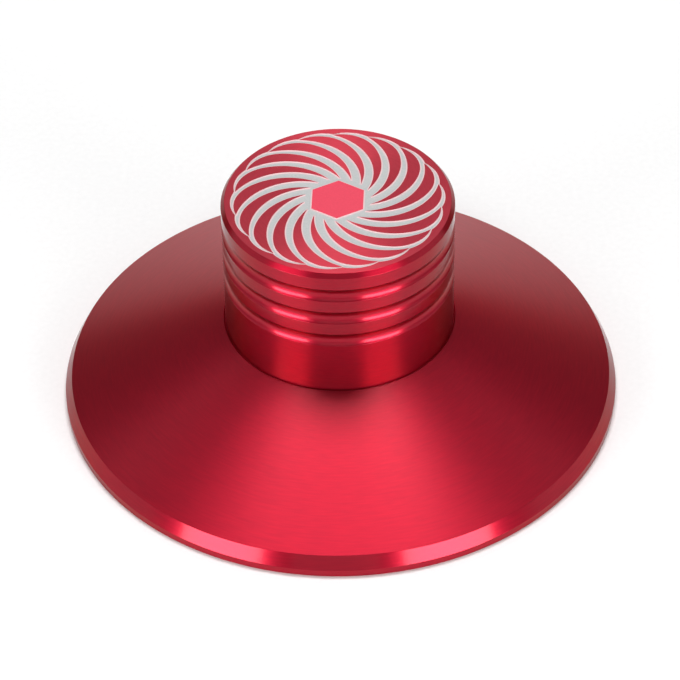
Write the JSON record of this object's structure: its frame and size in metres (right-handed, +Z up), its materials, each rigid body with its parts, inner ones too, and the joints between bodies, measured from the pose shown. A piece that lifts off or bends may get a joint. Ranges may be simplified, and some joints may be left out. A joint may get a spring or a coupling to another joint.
{
  "type": "record weight",
  "caption": "Turned aluminium record weight: a cone-topped disc with a grooved knob, a marked rosette on its top and a blind bore below that drops over a turntable spindle.",
  "frame": {"origin": "centre of the flat underside, on the axis of turning", "axes": "+Z up along the axis of turning, out of the knob's top; +Y towards one corner of the hexagon on the knob's top"},
  "size_m": [0.08, 0.08, 0.0344],
  "materials": {
    "anodised_aluminium": "fine-turned, red anodised, with a silver-grey laser-marked rosette on the knob's top"
  },
  "bodies": {
    "root": {"weight_body": "anodised_aluminium"}
  },
  "joints": []
}
